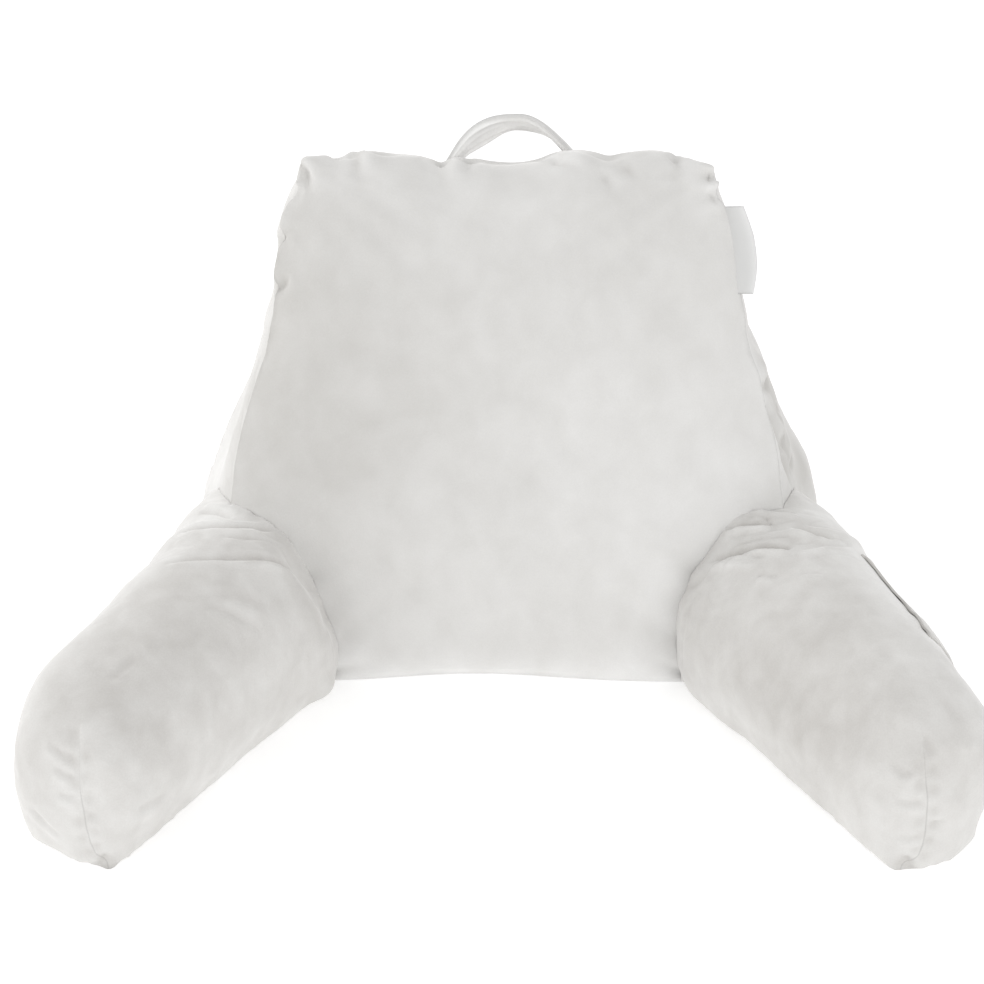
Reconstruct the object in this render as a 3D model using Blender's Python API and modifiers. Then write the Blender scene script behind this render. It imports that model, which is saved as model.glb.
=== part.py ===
"""Reading pillow with arms: a stuffed back cushion that leans back on its own flat base, two stuffed
arms sewn to its sides, a carry strap, a side tag and a pocket on the outer side of one arm.

Metres, +Z up. The front faces -Y. The origin is the centre of the back cushion's flat base."""
import math
from collections import namedtuple

import bmesh
import bpy
from mathutils import Quaternion, Vector

INCH = 0.0254
SEWN_GAP = 0.0003                     # between pieces that are sewn to each other
PLUSH = (0.70, 0.69, 0.67, 1.0)
WEBBING = (0.66, 0.66, 0.64, 1.0)
RIBBON = (0.52, 0.52, 0.51, 1.0)

# Back cushion: a wedge, deep at the base and thin at the top, seen as a trapezoid from the front.
FACE_LENGTH = 14.1 * INCH             # from the base's front edge up to the top seam
RECLINE = math.radians(27.0)          # of the front face, from upright
BASE_DEPTH = 8.0 * INCH
TOP_DEPTH = 3.3 * INCH                # of the top, square to the front face
FACE_UP = Vector((0.0, math.sin(RECLINE), math.cos(RECLINE)))
FACE_IN = Vector((0.0, math.cos(RECLINE), -math.sin(RECLINE)))
BASE_FRONT = Vector((0.0, -BASE_DEPTH / 2, 0.0))
BASE_REAR = Vector((0.0, BASE_DEPTH / 2, 0.0))
TOP_FRONT = BASE_FRONT + FACE_UP * FACE_LENGTH
TOP_REAR = TOP_FRONT + FACE_IN * TOP_DEPTH
FRONT_CROWN = 1.05 * INCH
REAR_CROWN = 0.8 * INCH
SIDE_CROWN = 0.30 * INCH
TOP_CROWN = 0.35 * INCH
BACK_CUTS = (31, 6, 27)               # grid cuts along X, the depth and the height

# Half widths of the front and rear panels, by the share of the face's length above the base.
Level = namedtuple("Level", "share front_half rear_half")
BACK_LEVELS = (
    Level(0.00, 6.90 * INCH, 9.10 * INCH),
    Level(0.10, 7.10 * INCH, 9.20 * INCH),
    Level(0.20, 7.40 * INCH, 8.80 * INCH),
    Level(0.30, 7.55 * INCH, 8.35 * INCH),
    Level(0.40, 7.45 * INCH, 7.85 * INCH),
    Level(0.50, 7.20 * INCH, 7.25 * INCH),
    Level(0.65, 6.55 * INCH, 6.50 * INCH),
    Level(0.78, 6.25 * INCH, 6.15 * INCH),
    Level(0.89, 6.10 * INCH, 6.00 * INCH),
    Level(0.95, 5.85 * INCH, 5.75 * INCH),
    Level(1.00, 5.60 * INCH, 5.50 * INCH),
)

# Where the gathered seams swell and pull in. along is measured on the seam, from the middle of
# the top or from the base up the side; rise is how far the edge swells (+) or pulls in (-).
Gather = namedtuple("Gather", "along rise width")
TOP_GATHERS = (
    Gather(-5.30 * INCH, 0.05 * INCH, 0.5 * INCH),
    Gather(-4.55 * INCH, -0.10 * INCH, 0.3 * INCH),
    Gather(-3.85 * INCH, 0.20 * INCH, 0.6 * INCH),
    Gather(-1.90 * INCH, -0.20 * INCH, 0.35 * INCH),
    Gather(-0.30 * INCH, -0.06 * INCH, 0.7 * INCH),
    Gather(1.70 * INCH, 0.16 * INCH, 0.7 * INCH),
    Gather(2.85 * INCH, -0.06 * INCH, 0.4 * INCH),
    Gather(4.05 * INCH, 0.20 * INCH, 0.8 * INCH),
    Gather(4.85 * INCH, -0.16 * INCH, 0.3 * INCH),
)
LEFT_GATHERS = (
    Gather(13.75 * INCH, -0.16 * INCH, 0.30 * INCH),
    Gather(13.10 * INCH, 0.05 * INCH, 0.50 * INCH),
    Gather(12.30 * INCH, -0.10 * INCH, 0.30 * INCH),
    Gather(11.00 * INCH, -0.12 * INCH, 0.40 * INCH),
    Gather(9.60 * INCH, -0.10 * INCH, 0.40 * INCH),
)
RIGHT_GATHERS = (
    Gather(13.80 * INCH, -0.18 * INCH, 0.30 * INCH),
    Gather(13.20 * INCH, 0.08 * INCH, 0.50 * INCH),
    Gather(10.20 * INCH, -0.08 * INCH, 0.45 * INCH),
    Gather(8.40 * INCH, -0.10 * INCH, 0.40 * INCH),
)
GATHER_REACH = 1.3 * INCH             # how far a gather runs in from its seam

# Arms: bolsters from inside the back's sides forwards and outwards, on a flat sole.
# forward is measured from the base's front edge, centre from the middle of the pillow. heading is
# how far the arm turns outwards there, in degrees. fullness is how square the section is over its
# inner side: 2 is an ellipse, and less is a slope.
Station = namedtuple("Station", "forward centre half_width height fullness heading")
ARM_STATIONS = (
    Station(-6.40 * INCH, 6.45 * INCH, 1.60 * INCH, 3.30 * INCH, 1.50, 5.0),
    Station(-4.30 * INCH, 6.80 * INCH, 2.00 * INCH, 3.90 * INCH, 1.50, 6.0),
    Station(-2.30 * INCH, 6.98 * INCH, 2.38 * INCH, 4.40 * INCH, 1.55, 9.0),
    Station(-0.40 * INCH, 7.18 * INCH, 2.65 * INCH, 4.65 * INCH, 1.70, 18.0),
    Station(1.30 * INCH, 8.00 * INCH, 2.47 * INCH, 4.65 * INCH, 1.90, 26.0),
    Station(2.90 * INCH, 8.85 * INCH, 2.33 * INCH, 4.50 * INCH, 2.00, 28.0),
    Station(4.40 * INCH, 9.62 * INCH, 2.20 * INCH, 4.35 * INCH, 2.10, 27.0),
    Station(5.60 * INCH, 10.18 * INCH, 2.06 * INCH, 4.10 * INCH, 2.20, 24.0),
    Station(6.45 * INCH, 10.45 * INCH, 1.82 * INCH, 3.75 * INCH, 2.20, 21.0),
    Station(7.00 * INCH, 10.47 * INCH, 1.47 * INCH, 3.25 * INCH, 2.20, 19.0),
    Station(7.35 * INCH, 10.38 * INCH, 0.95 * INCH, 2.40 * INCH, 2.20, 18.0),
)
ARM_NOSE = 0.22 * INCH                # how far the rounded end stands past the last station
ARM_SINK = 0.80 * INCH                # the part of the round section that lies flat on the floor
OUTER_FULLNESS = 2.9
SOLE_FULLNESS = 3.6
ARM_CUTS = (31, 7, 7)                 # along the arm, across it, up it

# A crease across the top of an arm, near its root.
Crease = namedtuple("Crease", "forward depth width")
LEFT_CREASES = (
    Crease(-1.35 * INCH, 0.15 * INCH, 0.40 * INCH),
    Crease(0.60 * INCH, 0.11 * INCH, 0.40 * INCH),
)
RIGHT_CREASES = (
    Crease(-1.95 * INCH, 0.10 * INCH, 0.35 * INCH),
    Crease(-0.90 * INCH, 0.13 * INCH, 0.40 * INCH),
    Crease(0.20 * INCH, 0.09 * INCH, 0.40 * INCH),
)

# Carry strap: one band sewn at both ends to the middle of the top, leaning back.
STRAP_MIDDLE = 0.30 * INCH            # to the right of the pillow's middle
STRAP_HALF_SPAN = 1.62 * INCH
STRAP_RISE = 1.58 * INCH              # of the loop, above where its ends enter the top
STRAP_ROOT_DEPTH = 0.5 * TOP_DEPTH
STRAP_SUNK = 0.25 * INCH
STRAP_WIDTH = 1.15 * INCH
STRAP_THICKNESS = 0.0042
STRAP_LEAN = math.radians(36.0)
STRAP_TURNS = (math.radians(-36.0), math.radians(-6.0), math.radians(2.0))   # left, crest, right
STRAP_CUTS = (30, 4)

# Side tag: a folded ribbon caught in the seam beside the front panel.
TAG_FOOT = 10.65 * INCH               # of its lower edge, up the seam from the base
TAG_LENGTH = 2.35 * INCH
TAG_STANDS_OUT = 0.54 * INCH
TAG_THICKNESS = 0.0014
TAG_CUTS = (10, 4)

# Pocket: a patch on the outer side of the right arm, open along its top.
POCKET_THICKNESS = 0.0015
POCKET_GAPE = 0.0036                  # of the mouth, in its middle
POCKET_START = 0.46                   # shares of the arm's length
POCKET_END = 0.83
POCKET_REACH = 0.8                    # up and down the arm's side, 1 at its shoulders


def blended(rows, at):
    """The row of a table at a given value of its first column, on a smooth curve through the rows."""
    place = min(max(at, rows[0][0]), rows[-1][0])
    index = max(i for i in range(len(rows) - 1) if rows[i][0] <= place)
    near = [rows[min(max(index + k, 0), len(rows) - 1)] for k in (-1, 0, 1, 2)]
    t = (place - rows[index][0]) / (rows[index + 1][0] - rows[index][0])
    values = [place]
    for a, b, c, d in list(zip(*near))[1:]:
        bend = (c - a) * t + (2 * a - 5 * b + 4 * c - d) * t ** 2 + (3 * b - a - 3 * c + d) * t ** 3
        values.append(b + bend / 2)
    return type(rows[0])(*values)


def crown(share, steepness=2.6, fullness=0.62):
    """How far a stuffed panel stands out, from 1 in its middle to 0 at its seams, at share -1 to 1."""
    return max(0.0, 1.0 - abs(share) ** steepness) ** fullness


def gathered(gathers, along):
    return sum(g.rise * math.exp(-((along - g.along) / g.width) ** 2) for g in gathers)


def plain_material(name, colour, roughness):
    material = bpy.data.materials.new(name)
    material.use_nodes = True
    material.diffuse_color = colour
    shader = material.node_tree.nodes["Principled BSDF"]
    shader.inputs["Base Color"].default_value = colour
    shader.inputs["Roughness"].default_value = roughness
    shader.inputs["Metallic"].default_value = 0.0
    return material


def new_piece(mesh, name, material, collection):
    data = bpy.data.meshes.new(name)
    bmesh.ops.recalc_face_normals(mesh, faces=mesh.faces)
    mesh.to_mesh(data)
    mesh.free()
    data.shade_smooth()
    data.materials.append(material)
    piece = bpy.data.objects.new(name, data)
    collection.objects.link(piece)
    return piece


def cut_cube(cuts):
    """A cube from -1 to 1, its edges cut into a grid."""
    mesh = bmesh.new()
    bmesh.ops.create_cube(mesh, size=2.0)
    for axis, count in enumerate(cuts):
        along = [e for e in mesh.edges if abs(e.verts[0].co[axis] - e.verts[1].co[axis]) > 1e-6]
        bmesh.ops.subdivide_edges(mesh, edges=along, cuts=count, use_grid_fill=True)
    return mesh


def cut_sheet(cuts):
    """A flat sheet from -1 to 1 in X and Y, cut into a grid."""
    mesh = bmesh.new()
    bmesh.ops.create_grid(mesh, x_segments=cuts[0], y_segments=cuts[1], size=1.0)
    return mesh


def thicken(piece, thickness, offset=0.0):
    solidify = piece.modifiers.new("cloth", "SOLIDIFY")
    solidify.thickness = thickness
    solidify.offset = offset


def cut_by(piece, cutter):
    boolean = piece.modifiers.new("sewn to the cushion", "BOOLEAN")
    boolean.operation = "DIFFERENCE"
    boolean.object = cutter
    boolean.solver = "EXACT"


def back_point(across, depth, height):
    """The back cushion's surface: across to the right, depth to the rear and height, each -1 to 1."""
    share = (height + 1) / 2
    inwards = (depth + 1) / 2
    level = blended(BACK_LEVELS, share)
    half = level.front_half + (level.rear_half - level.front_half) * inwards
    front = BASE_FRONT.lerp(TOP_FRONT, share)
    rear = BASE_REAR.lerp(TOP_REAR, share)
    point = front.lerp(rear, inwards) + Vector((across * half, 0.0, 0.0))

    forwards = (front - rear).normalized()
    swell = crown(across) * crown(height)
    point += forwards * swell * (FRONT_CROWN * max(0.0, -depth) - REAR_CROWN * max(0.0, depth))
    point.x += across * SIDE_CROWN * crown(depth) * (1.0 if height < 0 else crown(height))
    point += FACE_UP * TOP_CROWN * crown(across, 6.0) * crown(depth) * max(0.0, height) ** 9

    below_top = (1 - share) * FACE_LENGTH
    point += FACE_UP * gathered(TOP_GATHERS, point.x) * math.exp(-(below_top / GATHER_REACH) ** 2)
    gathers = RIGHT_GATHERS if across > 0 else LEFT_GATHERS
    from_side = (1 - abs(across)) * half
    pull = gathered(gathers, share * FACE_LENGTH) * math.exp(-(from_side / GATHER_REACH) ** 2)
    point.x += math.copysign(pull, across)
    point.z = max(point.z, 0.0)
    return point


def arm_point(along, across, up, creases):
    """A right-hand arm's surface: along it to its end, across outwards and up, each -1 to 1."""
    share = (along + 1) / 2
    first, last = ARM_STATIONS[0].forward, ARM_STATIONS[-1].forward
    forward = first + (last - first) * share
    station = blended(ARM_STATIONS, forward)
    heading = math.radians(station.heading)
    run = Vector((math.sin(heading), -math.cos(heading), 0.0))
    outwards = Vector((math.cos(heading), math.sin(heading), 0.0))

    angle = math.atan2(up, across)
    reach = max(abs(across), abs(up))
    full = SOLE_FULLNESS if up < 0 else station.fullness if across < 0 else OUTER_FULLNESS
    spread = (abs(math.cos(angle)) ** full + abs(math.sin(angle)) ** full) ** (-1 / full)
    half_height = (station.height + ARM_SINK) / 2
    rise = half_height * (1 + math.sin(angle) * spread * reach) - ARM_SINK
    for crease in creases:
        rise -= crease.depth * max(0.0, up) * math.exp(-((forward - crease.forward) / crease.width) ** 2)
    point = Vector((station.centre, BASE_FRONT.y - forward, max(0.0, rise)))
    point += outwards * math.cos(angle) * spread * station.half_width * reach
    if along > 0.999:
        point += run * ARM_NOSE * crown(reach, 2.0, 0.5)
    return point


def strap_point(along, across):
    """The strap's middle surface: along it from left to right, across towards the front."""
    share = (along + 1) / 2
    lean_back = Vector((0.0, math.sin(STRAP_LEAN), math.cos(STRAP_LEAN)))
    to_front = Vector((0.0, -math.cos(STRAP_LEAN), math.sin(STRAP_LEAN)))
    turn = math.pi * share
    side = Vector((-math.cos(turn) * STRAP_HALF_SPAN, 0.0, 0.0))
    point = TOP_FRONT + FACE_IN * STRAP_ROOT_DEPTH - FACE_UP * STRAP_SUNK
    point += Vector((STRAP_MIDDLE, 0.0, 0.0)) + side + lean_back * STRAP_RISE * math.sin(turn) ** 0.85
    tangent = Vector((math.sin(turn), 0.0, 0.0)) + lean_back * math.cos(turn)
    left, crest, right = STRAP_TURNS
    twist = left * (1 - share) ** 2 + 2 * crest * share * (1 - share) + right * share ** 2
    return point + Quaternion(tangent, twist) @ to_front * across * STRAP_WIDTH / 2


def tag_point(along, across):
    """The tag's middle surface: along the side seam upwards, across out from the seam."""
    seam = TAG_FOOT + TAG_LENGTH * (along + 1) / 2
    share = seam / FACE_LENGTH
    root = BASE_FRONT.lerp(TOP_FRONT, share) + Vector((blended(BACK_LEVELS, share).front_half, 0, 0))
    out = (across + 1) / 2
    stands_out = TAG_STANDS_OUT * (1.15 * out - 0.15)
    bow = 0.10 * INCH * out * (1 - along ** 2)
    lift = 0.12 * INCH * out * along
    return root + Vector((stands_out + bow, 0.0, 0.0)) - FACE_IN * (0.35 * stands_out + lift)


def build_back(collection, name, material, grown=0.0):
    mesh = cut_cube(BACK_CUTS)
    for vertex in mesh.verts:
        vertex.co = back_point(*vertex.co)
    bmesh.ops.triangulate(mesh, faces=mesh.faces)
    if grown:
        mesh.normal_update()
        moves = [(vertex, vertex.normal * grown * vertex.calc_shell_factor()) for vertex in mesh.verts]
        for vertex, move in moves:
            vertex.co += move
    return new_piece(mesh, name, material, collection)


def build_arm(collection, name, material, side, creases, cutter):
    mesh = cut_cube(ARM_CUTS)
    for vertex in mesh.verts:
        vertex.co = arm_point(*vertex.co, creases)
        vertex.co.x *= side
    arm = new_piece(mesh, name, material, collection)
    cut_by(arm, cutter)
    return arm


def build_pocket(collection, name, material):
    mesh = cut_cube(ARM_CUTS)
    start, end = (2 * share - 1 for share in (POCKET_START, POCKET_END))
    patch = [
        face for face in mesh.faces
        if all(v.co.y > 0.999 and start < v.co.x < end and abs(v.co.z) < POCKET_REACH for v in face.verts)
    ]
    grid = {vertex: vertex.co.copy() for vertex in mesh.verts}
    for vertex in mesh.verts:
        vertex.co = arm_point(*vertex.co, RIGHT_CREASES)
    mesh.normal_update()
    used = {vertex for face in patch for vertex in face.verts}
    low, high = min(grid[v].z for v in used), max(grid[v].z for v in used)
    first, last = min(grid[v].x for v in used), max(grid[v].x for v in used)
    moves = []
    for vertex in used:
        place = (grid[vertex].x - first) / (last - first)
        height = (grid[vertex].z - low) / (high - low)
        gape = POCKET_GAPE * math.sin(math.pi * place) ** 1.2 * height ** 3
        moves.append((vertex, vertex.normal * (1.2 * SEWN_GAP + gape)))
    for vertex, move in moves:
        vertex.co += move
    bmesh.ops.delete(mesh, geom=[f for f in mesh.faces if f not in patch], context="FACES")
    data = bpy.data.meshes.new(name)
    mesh.to_mesh(data)
    mesh.free()
    data.materials.append(material)
    piece = bpy.data.objects.new(name, data)
    collection.objects.link(piece)
    thicken(piece, POCKET_THICKNESS, offset=1.0)
    return piece


def build_band(collection, name, material, cuts, place, thickness, cutter):
    mesh = cut_sheet(cuts)
    for vertex in mesh.verts:
        vertex.co = place(vertex.co.x, vertex.co.y)
    band = new_piece(mesh, name, material, collection)
    thicken(band, thickness)
    cut_by(band, cutter)
    return band


def build_pillow():
    for item in list(bpy.data.objects):
        bpy.data.objects.remove(item, do_unlink=True)
    pillow = bpy.data.collections.new("reading_pillow")
    cutters = bpy.data.collections.new("cutters")
    for collection in (pillow, cutters):
        bpy.context.scene.collection.children.link(collection)

    plush = plain_material("back_plush", PLUSH, 0.95)
    build_back(pillow, "back_cushion", plush)
    cutter = build_back(cutters, "room_for_the_back", plush, grown=SEWN_GAP)
    cutter.hide_render = True
    cutter.display_type = "WIRE"

    for side, name, creases in ((1, "arm_right", RIGHT_CREASES), (-1, "arm_left", LEFT_CREASES)):
        build_arm(pillow, name, plain_material(name + "_plush", PLUSH, 0.95), side, creases, cutter)
    build_pocket(pillow, "arm_pocket", plain_material("pocket_plush", PLUSH, 0.95))
    build_band(pillow, "carry_handle", plain_material("strap_plush", WEBBING, 0.9), STRAP_CUTS,
               strap_point, STRAP_THICKNESS, cutter)
    build_band(pillow, "side_tag", plain_material("tag_ribbon", RIBBON, 0.7), TAG_CUTS,
               tag_point, TAG_THICKNESS, cutter)


build_pillow()
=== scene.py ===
"""Reading pillow with arms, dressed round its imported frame: plush covers over the back and the two
arms, a plush carry strap, a bare ribbon tag and a gaping pocket. Metres, +Z up, the front faces -Y."""
import math

import bmesh
import bpy
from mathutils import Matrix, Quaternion, Vector, noise
from mathutils.bvhtree import BVHTree
from mathutils.kdtree import KDTree


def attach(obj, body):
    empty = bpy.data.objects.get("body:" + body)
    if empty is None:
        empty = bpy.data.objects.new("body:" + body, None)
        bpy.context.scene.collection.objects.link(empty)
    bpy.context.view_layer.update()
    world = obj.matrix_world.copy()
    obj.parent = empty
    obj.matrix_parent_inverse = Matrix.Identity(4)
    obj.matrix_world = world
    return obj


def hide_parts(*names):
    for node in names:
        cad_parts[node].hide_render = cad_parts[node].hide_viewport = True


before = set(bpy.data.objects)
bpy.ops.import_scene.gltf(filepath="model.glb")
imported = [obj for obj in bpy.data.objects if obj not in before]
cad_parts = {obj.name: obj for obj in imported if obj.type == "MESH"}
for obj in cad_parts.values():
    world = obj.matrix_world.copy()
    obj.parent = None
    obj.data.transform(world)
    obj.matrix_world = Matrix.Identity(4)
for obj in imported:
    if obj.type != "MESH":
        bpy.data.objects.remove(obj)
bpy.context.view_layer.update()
INCH = 0.0254

# --- Camera ---------------------------------------------------------------------------------------
# A long lens from in front and above, its middle a little left of the pillow's.
CAMERA_PLACE = (-0.01047, -1.30299, 0.90799)
CAMERA_PITCH = math.radians(32.0)                   # below the horizon
CAMERA_LENS = 78.59                                 # mm, before a sensor 36 mm wide
bpy.ops.object.camera_add(location=CAMERA_PLACE, rotation=(math.pi / 2 - CAMERA_PITCH, 0.0, 0.0))
camera = bpy.context.object
camera.data.sensor_width = 36.0
camera.data.lens = CAMERA_LENS
bpy.context.scene.camera = camera

# --- Back cushion ---------------------------------------------------------------------------------
# The wedge that carries the whole pillow: front, rear, side gussets and top cut from short-pile
# plush, sewn right side in, turned and stuffed. Its seams are knife edges, gathered round the top.
FACE_LENGTH = 14.1 * INCH                           # up the front panel, seam to seam
RECLINE = math.radians(27.0)
BASE_DEPTH = 8.0 * INCH
TOP_DEPTH = 3.3 * INCH
FACE_UP = Vector((0.0, math.sin(RECLINE), math.cos(RECLINE)))
FACE_OUT = Vector((0.0, -math.cos(RECLINE), math.sin(RECLINE)))
BASE_FRONT = Vector((0.0, -BASE_DEPTH / 2, 0.0))
BASE_REAR = Vector((0.0, BASE_DEPTH / 2, 0.0))
TOP_FRONT = BASE_FRONT + FACE_UP * FACE_LENGTH
TOP_REAR = TOP_FRONT - FACE_OUT * TOP_DEPTH
REAR_OUT = Vector((1.0, 0.0, 0.0)).cross(BASE_REAR - TOP_REAR).normalized()
BACK_VOXEL = 0.0046
SEAM_LINE = 0.0009                                  # from a sewn line to where the pile hides it
BACK_PUFF = 0.006                                   # the furthest that the stuffing moves the cover
STUFFING_PRESSURE = 2.2
STUFFING_STEPS = 20                                 # frames in which it fills a cover out
FLAT_BELOW = 0.002                                  # the base's cloth lies flat up to here
BACK_PLUSH = ((0.575, 0.563, 0.540), (0.822, 0.817, 0.807))   # darkest and lightest tones, for drifts and painted light and shade


def set_sockets(node, values):
    for socket, value in values.items():
        node.inputs[socket].default_value = value


def add_node(nodes, kind, values, **settings):
    """A shader node with its settings made first, and then the values of its sockets."""
    node = nodes.new("ShaderNode" + kind)
    for setting, value in settings.items():
        setattr(node, setting, value)
    set_sockets(node, values)
    return node


def plush(name, tones, mottle, drift_size, sheen, seam_shade=0.0):
    """Short-pile plush: its colour lies between two tones, moved by random drifts and by painted
    light and shade, over a fine pile.

    Two attributes steer it: painted_light_and_nap, painted light and shade with some wider tone
    patches, and seam, which is 1 on a sewn line and differs from 1 by the distance to it in metres."""
    material = bpy.data.materials.new(name)
    material.use_nodes = True
    nodes, links = material.node_tree.nodes, material.node_tree.links
    shader = nodes["Principled BSDF"]
    place = nodes.new("ShaderNodeTexCoord")

    def clouds(size, detail, stretch, turn, twist):
        mapping = add_node(nodes, "Mapping", {"Scale": stretch, "Rotation": turn})
        links.new(place.outputs["Object"], mapping.inputs["Vector"])
        texture = add_node(nodes, "TexNoise", {"Scale": 1.0 / size, "Detail": detail,
                                               "Distortion": twist})
        links.new(mapping.outputs["Vector"], texture.inputs["Vector"])
        return texture.outputs["Fac"]

    def mixed(first, second, share):
        mix = add_node(nodes, "Mix", {"Factor": share})
        links.new(first, mix.inputs["A"])
        links.new(second, mix.inputs["B"])
        return mix.outputs["Result"]

    # the tone: large drifts, smaller strokes and the pile's own grain, moved up or down by painted
    # light and shade
    drifts = clouds(drift_size, 3.0, (1.0, 1.0, 0.8), (0.3, 0.2, 0.5), 0.2)
    strokes = clouds(drift_size / 4.5, 6.0, (1.0, 1.0, 0.75), (0.5, 0.1, 0.2), 0.3)
    pile = clouds(0.0011, 2.0, (1.0, 1.0, 1.0), (0.0, 0.0, 0.0), 0.0)
    painted_light_and_nap_amount = mixed(mixed(drifts, strokes, 0.48), pile, 0.18)
    spread = add_node(nodes, "MapRange", {"From Min": 0.40, "From Max": 0.60,
                                          "To Min": 0.5 - mottle, "To Max": 0.5 + mottle}, clamp=False)
    links.new(painted_light_and_nap_amount, spread.inputs["Value"])
    painted_light_and_nap_node = add_node(nodes, "Attribute", {}, attribute_name="painted_light_and_nap")
    tone_with_painted_light = add_node(nodes, "Math", {}, operation="ADD", use_clamp=True)
    links.new(spread.outputs["Result"], tone_with_painted_light.inputs[0])
    links.new(painted_light_and_nap_node.outputs["Fac"], tone_with_painted_light.inputs[1])
    tone = add_node(nodes, "Mix", {"A": (*tones[0], 1.0), "B": (*tones[1], 1.0)}, data_type="RGBA")
    links.new(tone_with_painted_light.outputs["Value"], tone.inputs["Factor"])

    # the sewn line: a thin dark line where the pile parts
    seam = add_node(nodes, "Attribute", {}, attribute_name="seam")
    off_seam = add_node(nodes, "Math", {1: 1.0}, operation="SUBTRACT")
    links.new(seam.outputs["Fac"], off_seam.inputs[0])
    distance = add_node(nodes, "Math", {}, operation="ABSOLUTE")
    links.new(off_seam.outputs["Value"], distance.inputs[0])
    sewn = add_node(nodes, "MapRange", {"From Max": SEAM_LINE, "To Min": seam_shade, "To Max": 0.0},
                    interpolation_type="SMOOTHSTEP")
    links.new(distance.outputs["Value"], sewn.inputs["Value"])
    in_seam = add_node(nodes, "Mix", {"B": (*(part * 0.35 for part in tones[0]), 1.0)}, data_type="RGBA")
    links.new(sewn.outputs["Result"], in_seam.inputs["Factor"])
    links.new(tone.outputs["Result"], in_seam.inputs["A"])
    links.new(in_seam.outputs["Result"], shader.inputs["Base Color"])

    # the surface: fuzz over combed strokes, with the sheen that pile has at a glancing angle
    fuzz = add_node(nodes, "Bump", {"Strength": 0.25, "Distance": 0.0004})
    links.new(pile, fuzz.inputs["Height"])
    combed = add_node(nodes, "Bump", {"Strength": 0.35, "Distance": 0.0012})
    links.new(strokes, combed.inputs["Height"])
    links.new(fuzz.outputs["Normal"], combed.inputs["Normal"])
    links.new(combed.outputs["Normal"], shader.inputs["Normal"])
    set_sockets(shader, {"Roughness": 0.95, "Specular IOR Level": 0.1, "Sheen Weight": sheen,
                         "Sheen Roughness": 0.35, "Sheen Tint": (1.0, 0.99, 0.98, 1.0)})
    return material


def only(piece):
    """Makes the piece the active one and the only one selected."""
    bpy.ops.object.select_all(action="DESELECT")
    piece.select_set(True)
    bpy.context.view_layer.objects.active = piece


def apply_all(piece):
    only(piece)
    for modifier in list(piece.modifiers):
        bpy.ops.object.modifier_apply(modifier=modifier.name)


def merged(node):
    """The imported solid's surface as one joined mesh."""
    mesh = bmesh.new()
    mesh.from_mesh(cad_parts[node].data)
    bmesh.ops.remove_doubles(mesh, verts=mesh.verts, dist=0.00001)
    return mesh


def cover_of(node, name, voxel):
    """A closed cover of even cells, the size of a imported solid."""
    mesh = merged(node)
    data = bpy.data.meshes.new(name)
    mesh.to_mesh(data)
    mesh.free()
    cover = bpy.data.objects.new(name, data)
    bpy.context.scene.collection.objects.link(cover)
    remesh = cover.modifiers.new("even cells", "REMESH")
    remesh.mode = "VOXEL"
    remesh.voxel_size = voxel
    apply_all(cover)
    return cover


def stuff(cover, held, puff):
    """Swells the cover by puff at most, held(point) being 1 where a seam holds it and 0 off it."""
    start = [vertex.co.copy() for vertex in cover.data.vertices]
    group = cover.vertex_groups.new(name="held")
    for vertex in cover.data.vertices:
        group.add([vertex.index], held(vertex.co), "REPLACE")
    cloth = cover.modifiers.new("stuffing", "CLOTH")
    cloth.settings.quality = 5
    cloth.settings.mass = 0.3
    cloth.settings.tension_stiffness = 12.0
    cloth.settings.compression_stiffness = 12.0
    cloth.settings.shear_stiffness = 4.0
    cloth.settings.bending_stiffness = 0.6
    cloth.settings.vertex_group_mass = group.name
    cloth.settings.use_pressure = True
    cloth.settings.uniform_pressure_force = STUFFING_PRESSURE
    cloth.settings.effector_weights.gravity = 0.0
    cloth.point_cache.frame_end = STUFFING_STEPS
    only(cover)
    for step in range(1, STUFFING_STEPS + 1):
        bpy.context.scene.frame_set(step)
    bpy.ops.object.modifier_apply(modifier=cloth.name)
    bpy.context.scene.frame_set(1)
    for vertex, before in zip(cover.data.vertices, start):
        moved = vertex.co - before
        if moved.length > puff:
            vertex.co = before + moved * puff / moved.length
        vertex.co.z = max(vertex.co.z, 0.0)
    cover.vertex_groups.clear()


def refine(cover):
    finer = cover.modifiers.new("finer", "SUBSURF")
    finer.levels = finer.render_levels = 1
    apply_all(cover)
    cover.data.shade_smooth()


def press(cover, shape_at):
    """Moves each point along its normal and writes its painted light and shade, both as
    shape_at(point, normal) says.
    """
    painted_light_and_nap = cover.data.attributes.new("painted_light_and_nap", "FLOAT", "POINT")
    normals = [vertex.normal.copy() for vertex in cover.data.vertices]
    for vertex, normal, value in zip(cover.data.vertices, normals, painted_light_and_nap.data):
        height, value.value = shape_at(vertex.co.copy(), normal)
        vertex.co += normal * height
        vertex.co.z = max(vertex.co.z, 0.0)


def dress(piece, material, node):
    piece.data.materials.clear()
    piece.data.materials.append(material)
    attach(piece, "root")
    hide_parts(node)


def bell(distance, width):
    return math.exp(-(distance / width) ** 2)


def clamped(share):
    return min(1.0, max(0.0, share))


def up_the_face(point):
    return (point - BASE_FRONT).dot(FACE_UP)


def out_of_face(point):
    return (point - BASE_FRONT).dot(FACE_OUT)


def out_of_rear(point):
    return (point - BASE_REAR).dot(REAR_OUT)


SEAM_TURN = 0.3                                     # radians between the faces on a seam's two sides


def seam_tree(mesh, on_seam):
    """Every edge of the solid whose ends are on_seam and where its faces turn, in 1 mm steps."""
    points = []
    for edge in mesh.edges:
        ends = [vertex.co for vertex in edge.verts]
        if all(on_seam(end) for end in ends) and edge.calc_face_angle(0.0) > SEAM_TURN:
            steps = max(1, round(edge.calc_length() / 0.001))
            points += [ends[0].lerp(ends[1], step / steps) for step in range(steps + 1)]
    tree = KDTree(len(points))
    for index, point in enumerate(points):
        tree.insert(point, index)
    tree.balance()
    return tree


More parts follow.
